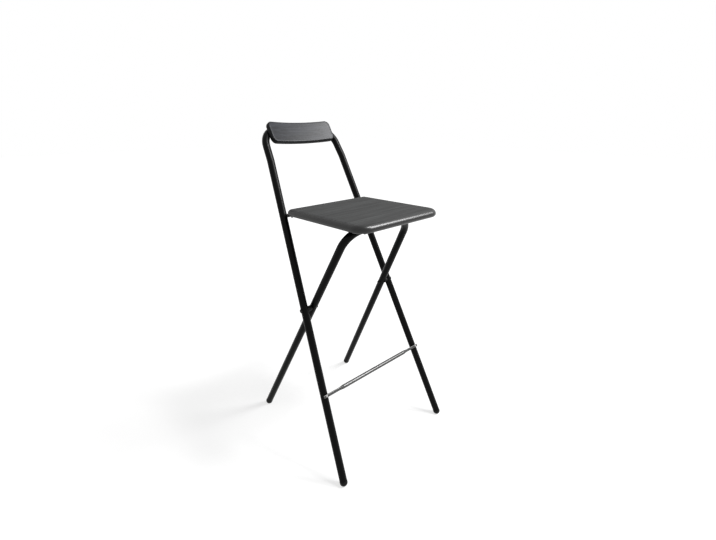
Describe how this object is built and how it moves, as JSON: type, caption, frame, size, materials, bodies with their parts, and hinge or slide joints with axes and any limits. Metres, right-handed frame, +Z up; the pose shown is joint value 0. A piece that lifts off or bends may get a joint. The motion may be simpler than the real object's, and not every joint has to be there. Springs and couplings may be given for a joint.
{
  "type": "folding bar stool",
  "caption": "Folding bar-height stool: splayed inverted-U tube frames crossing on pivots, tilting board seat hooked on a rear rod, small backrest and a footrest bar.",
  "frame": {"origin": "on the floor, at the middle of the stool's outline seen from above", "axes": "+X across the stool, +Y to the rear, +Z up"},
  "size_m": [0.4578, 0.4918, 0.9662],
  "materials": {
    "black_tube": "glossy black powder coat",
    "black_bracket": "satin black powder coat",
    "black_fastener": "blackened steel, satin",
    "seat_wood": "dark grey stained board, satin lacquer",
    "back_wood": "dark grey stained board, satin lacquer",
    "bare_steel": "satin bare steel",
    "bright_steel": "zinc plated",
    "black_plastic": "matt black moulded plastic"
  },
  "bodies": {
    "front_frame": {"front_frame_tube": "black_tube", "backrest_board": "back_wood", "backrest_screws": "black_fastener", "seat_rest_rod": "black_tube", "footrest_bar": "bare_steel", "footrest_rivets": "bright_steel", "front_foot_cap_left": "black_plastic", "front_foot_cap_right": "black_plastic", "pivot_bolts": "black_fastener", "pivot_spacers": "black_plastic", "pivot_cap_nuts": "black_fastener"},
    "rear_legs": {"rear_leg_tube": "black_tube", "rear_foot_cap_left": "black_plastic", "rear_foot_cap_right": "black_plastic", "pivot_bushes": "black_plastic"},
    "seat": {"seat_board": "seat_wood", "saddle_strap_left": "black_bracket", "saddle_strap_right": "black_bracket", "saddle_liner_left": "black_plastic", "saddle_liner_right": "black_plastic", "saddle_screws": "bright_steel", "seat_hook_left": "black_bracket", "seat_hook_right": "black_bracket", "hook_screws": "bright_steel"}
  },
  "joints": [
    {"name": "rear_legs_fold", "type": "hinge", "parent": "front_frame", "child": "rear_legs", "pos_m": [0, -0.01973, 0.46097], "axis": [-1, 0, 0], "range_deg": [0, 46.8]},
    {"name": "seat_tilt", "type": "hinge", "parent": "rear_legs", "child": "seat", "pos_m": [0, -0.14569, 0.70503], "axis": [1, 0, 0], "range_deg": [0, 113.7]}
  ],
  "couplings": [
    {"joint": "seat_tilt", "follows": "rear_legs_fold", "ratio": 2.429}
  ]
}
